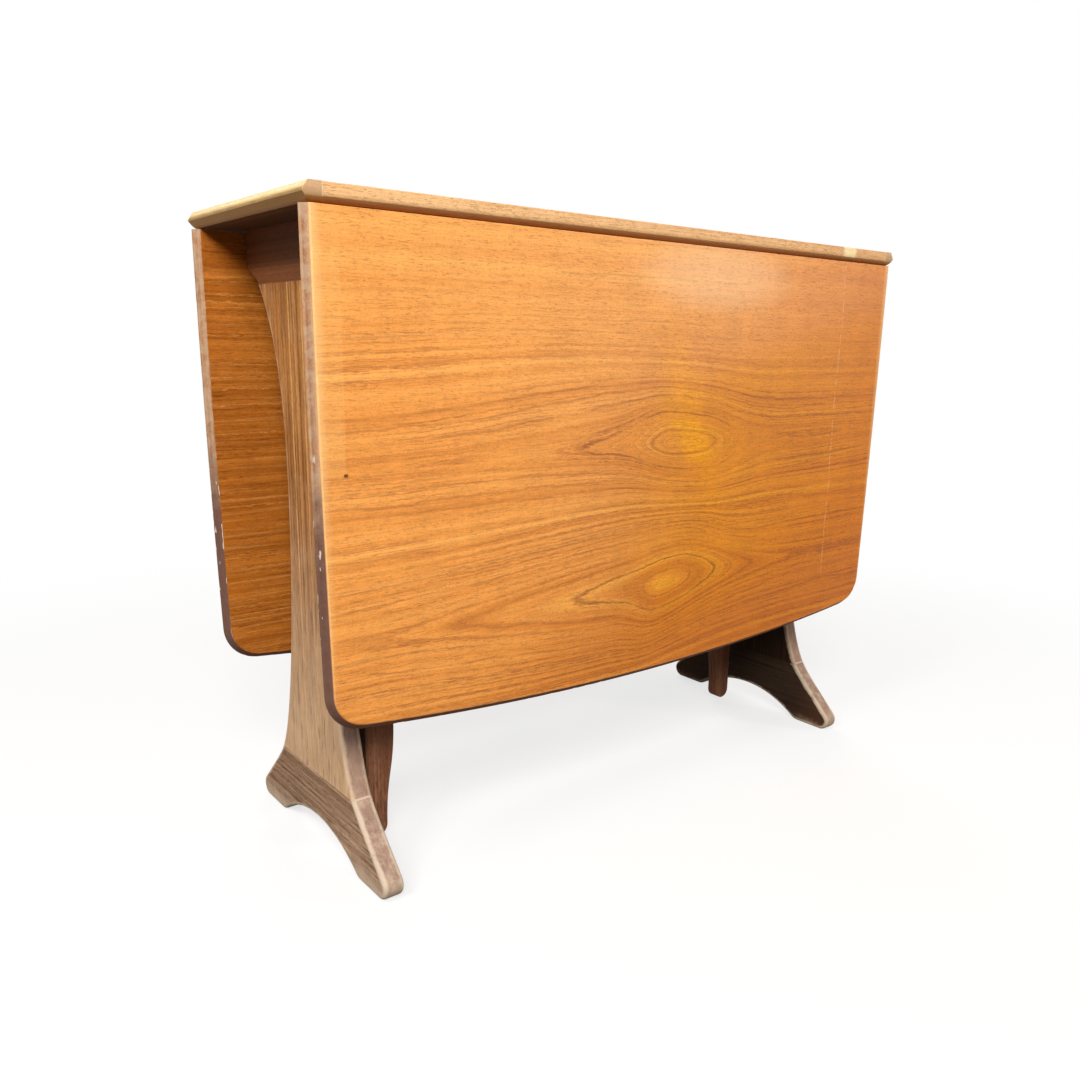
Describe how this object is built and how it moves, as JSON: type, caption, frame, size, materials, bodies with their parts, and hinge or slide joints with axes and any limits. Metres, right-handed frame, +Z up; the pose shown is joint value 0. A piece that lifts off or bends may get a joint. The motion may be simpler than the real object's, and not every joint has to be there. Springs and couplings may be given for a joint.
{
  "type": "drop-leaf gate-leg dining table",
  "caption": "Narrow teak drop-leaf dining table: curved slab end frames, hanging leaves on hinged rule-type joints, and swinging gate legs that hold the raised leaves.",
  "frame": {"origin": "on the floor under the middle of the table", "axes": "+X along the length of the table, +Y from the front leaf to the rear leaf, +Z up"},
  "size_m": [0.914, 0.326, 0.721],
  "materials": {
    "teak_veneer": "satin oiled teak veneer",
    "teak_lipping": "satin teak lipping",
    "teak_frame": "worn oiled teak",
    "gate_wood": "stained hardwood",
    "rail_wood": "stained hardwood",
    "beech_dowel": "plain beech",
    "brass_hinge": "dull",
    "brass_screw": "dull",
    "steel_screw": "plain",
    "steel_pin": "plain",
    "steel_bracket": "plain"
  },
  "bodies": {
    "stand_and_top": {"centre_post": "rail_wood", "centre_top_panel": "teak_veneer", "end_frame_left_foot": "teak_frame", "end_frame_left_panel": "teak_frame", "end_frame_left_top_block": "teak_frame", "end_frame_right_foot": "teak_frame", "end_frame_right_panel": "teak_frame", "end_frame_right_top_block": "teak_frame", "gate_fixed_flaps_front": "brass_hinge", "gate_fixed_flaps_rear": "brass_hinge", "gate_fixed_screws": "brass_screw", "gate_hinge_pins": "steel_pin", "leaf_hinge_pins_front": "steel_pin", "leaf_hinge_pins_rear": "steel_pin", "lower_stretcher": "rail_wood", "stand_dowels": "beech_dowel", "top_bracket_screws": "steel_screw", "top_brackets": "steel_bracket", "top_edge_lipping_front": "teak_lipping", "top_edge_lipping_rear": "teak_lipping", "top_end_lipping_left": "teak_lipping", "top_end_lipping_right": "teak_lipping", "top_hinge_flaps_front": "brass_hinge", "top_hinge_flaps_rear": "brass_hinge", "top_hinge_screws": "brass_screw", "upper_rail": "rail_wood"},
    "leaf_front": {"leaf_front_end_lipping_left": "teak_lipping", "leaf_front_end_lipping_right": "teak_lipping", "leaf_front_gate_stop": "gate_wood", "leaf_front_hinge_flaps": "brass_hinge", "leaf_front_hinge_lipping": "teak_lipping", "leaf_front_hinge_screws": "brass_screw", "leaf_front_outer_lipping": "teak_lipping", "leaf_front_panel": "teak_veneer", "leaf_front_stop_screws": "steel_screw"},
    "leaf_rear": {"leaf_rear_end_lipping_left": "teak_lipping", "leaf_rear_end_lipping_right": "teak_lipping", "leaf_rear_gate_stop": "gate_wood", "leaf_rear_hinge_flaps": "brass_hinge", "leaf_rear_hinge_lipping": "teak_lipping", "leaf_rear_hinge_screws": "brass_screw", "leaf_rear_outer_lipping": "teak_lipping", "leaf_rear_panel": "teak_veneer", "leaf_rear_stop_screws": "steel_screw"},
    "gate_front": {"gate_front_bottom_rail": "gate_wood", "gate_front_dowels": "beech_dowel", "gate_front_hinge_flaps": "brass_hinge", "gate_front_hinge_screws": "brass_screw", "gate_front_hinge_stile": "gate_wood", "gate_front_leg": "gate_wood", "gate_front_top_rail": "gate_wood"},
    "gate_rear": {"gate_rear_bottom_rail": "gate_wood", "gate_rear_dowels": "beech_dowel", "gate_rear_hinge_flaps": "brass_hinge", "gate_rear_hinge_screws": "brass_screw", "gate_rear_hinge_stile": "gate_wood", "gate_rear_leg": "gate_wood", "gate_rear_top_rail": "gate_wood"}
  },
  "joints": [
    {"name": "leaf_front_hinge", "type": "hinge", "parent": "stand_and_top", "child": "leaf_front", "pos_m": [0, -0.141, 0.7125], "axis": [-1, 0, 0], "range_deg": [0, 90]},
    {"name": "leaf_rear_hinge", "type": "hinge", "parent": "stand_and_top", "child": "leaf_rear", "pos_m": [0, 0.141, 0.7125], "axis": [1, 0, 0], "range_deg": [0, 90]},
    {"name": "gate_front_hinge", "type": "hinge", "parent": "stand_and_top", "child": "gate_front", "pos_m": [0.03, -0.02, 0.4], "axis": [0, 0, 1], "range_deg": [0, 13]},
    {"name": "gate_rear_hinge", "type": "hinge", "parent": "stand_and_top", "child": "gate_rear", "pos_m": [-0.03, 0.02, 0.4], "axis": [0, 0, 1], "range_deg": [0, 13]}
  ]
}
